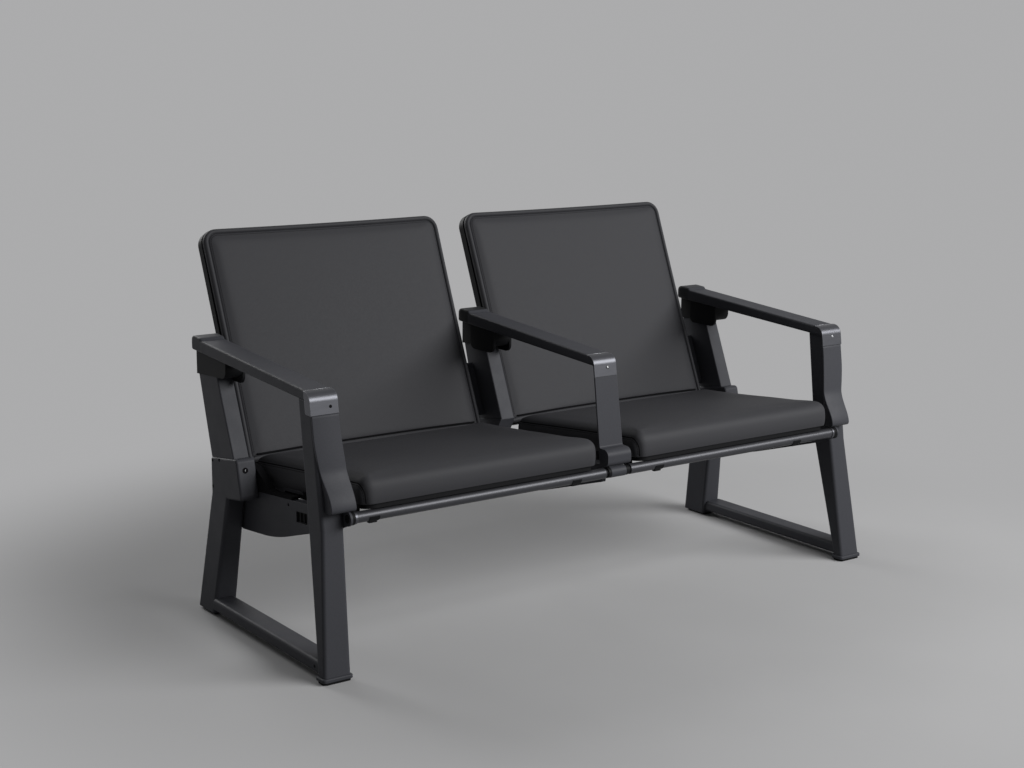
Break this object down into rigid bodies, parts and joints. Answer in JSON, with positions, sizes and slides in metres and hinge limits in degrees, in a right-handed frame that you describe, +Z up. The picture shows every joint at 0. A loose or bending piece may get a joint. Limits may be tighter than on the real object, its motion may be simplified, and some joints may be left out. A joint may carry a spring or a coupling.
{
  "type": "theater seating",
  "caption": "Free-standing row of tip-up seats with upholstered backs between flat arms, carried by leaning sled legs, a front tube and a rear beam.",
  "frame": {"origin": "on the floor below the middle of the row, halfway between the front feet and the tops of the backs", "axes": "+X along the row to the right end seen from the front, -Y to the front, +Z up"},
  "size_m": [1.63, 0.7806, 0.8922],
  "materials": {
    "frame_paint": "satin charcoal",
    "bright_metal": "satin",
    "black_plastic": "matte",
    "rubber": "matte",
    "upholstery": "matte cover with piping"
  },
  "bodies": {
    "frame": {"left_front_leg": "frame_paint", "left_rear_leg": "frame_paint", "left_rail": "frame_paint", "left_side_plate": "frame_paint", "right_front_leg": "frame_paint", "right_rear_leg": "frame_paint", "right_rail": "frame_paint", "right_side_plate": "frame_paint", "left_rear_post": "frame_paint", "left_arm": "frame_paint", "left_strap": "frame_paint", "middle_rear_post": "frame_paint", "middle_arm": "frame_paint", "middle_strap": "frame_paint", "right_rear_post": "frame_paint", "right_arm": "frame_paint", "right_strap": "frame_paint", "front_bases": "frame_paint", "left_front_tube": "frame_paint", "right_front_tube": "frame_paint", "middle_post": "frame_paint", "middle_clamp": "frame_paint", "middle_web": "frame_paint", "rear_beam": "frame_paint", "left_back_rails": "frame_paint", "right_back_rails": "frame_paint", "left_cap": "bright_metal", "middle_cap": "bright_metal", "right_cap": "bright_metal", "tube_collars": "bright_metal", "pivot_studs": "bright_metal", "left_knuckle": "black_plastic", "middle_knuckle": "black_plastic", "right_knuckle": "black_plastic", "left_slot_insert": "black_plastic", "left_end_plug": "black_plastic", "left_back_shell": "black_plastic", "right_slot_insert": "black_plastic", "right_end_plug": "black_plastic", "right_back_shell": "black_plastic", "tube_coupling": "black_plastic", "front_feet": "rubber", "rear_feet": "rubber", "left_back_pad": "upholstery", "right_back_pad": "upholstery"},
    "left_seat": {"left_hinge_arms": "frame_paint", "left_bushes": "black_plastic", "left_seat_pan": "black_plastic", "left_bumpers": "rubber", "left_seat_cushion": "upholstery"},
    "right_seat": {"right_hinge_arms": "frame_paint", "right_bushes": "black_plastic", "right_seat_pan": "black_plastic", "right_bumpers": "rubber", "right_seat_cushion": "upholstery"}
  },
  "joints": [
    {"name": "left_seat_tip", "type": "hinge", "parent": "frame", "child": "left_seat", "pos_m": [-0.378, 0.03525, 0.29646], "axis": [-1, 0, 0], "range_deg": [0, 78]},
    {"name": "right_seat_tip", "type": "hinge", "parent": "frame", "child": "right_seat", "pos_m": [0.378, 0.03525, 0.29646], "axis": [-1, 0, 0], "range_deg": [0, 78]}
  ]
}
